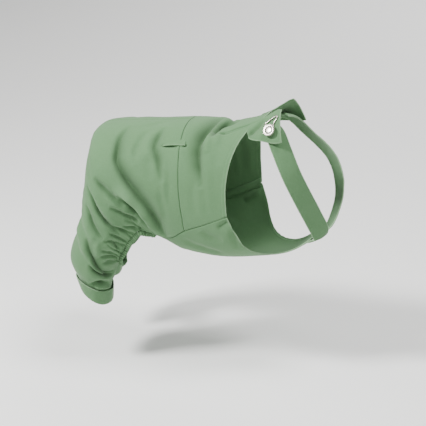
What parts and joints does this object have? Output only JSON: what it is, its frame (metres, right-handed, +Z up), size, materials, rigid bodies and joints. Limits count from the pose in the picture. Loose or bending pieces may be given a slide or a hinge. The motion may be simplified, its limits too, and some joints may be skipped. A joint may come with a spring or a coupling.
{
  "type": "dog overalls",
  "caption": "Sleeveless cotton overalls for a small dog, hollow as worn, with gathered trousers, a belly panel, shoulder tabs with buttons and buckles, and chest straps.",
  "frame": {"origin": "where the wearer's shoulders hold the back of the bodice", "axes": "+X to the wearer's front, +Y to the wearer's left, +Z up"},
  "size_m": [0.3535, 0.1741, 0.275],
  "materials": {
    "sage_cotton": "matte slubby plain weave",
    "brushed_nickel": "satin plated metal"
  },
  "bodies": {
    "root": {"bodice": "sage_cotton", "belly_panel": "sage_cotton", "trouser_right": "sage_cotton", "trouser_left": "sage_cotton", "leg_elastic_right": "sage_cotton", "leg_elastic_left": "sage_cotton", "cuff_right": "sage_cotton", "cuff_left": "sage_cotton", "shoulder_tab_right": "sage_cotton", "shoulder_tab_left": "sage_cotton", "strap_right": "sage_cotton", "strap_left": "sage_cotton", "pocket_welt_right": "sage_cotton", "pocket_welt_left": "sage_cotton", "button_right": "brushed_nickel", "button_left": "brushed_nickel", "buckle_right": "brushed_nickel", "buckle_left": "brushed_nickel"}
  },
  "joints": []
}
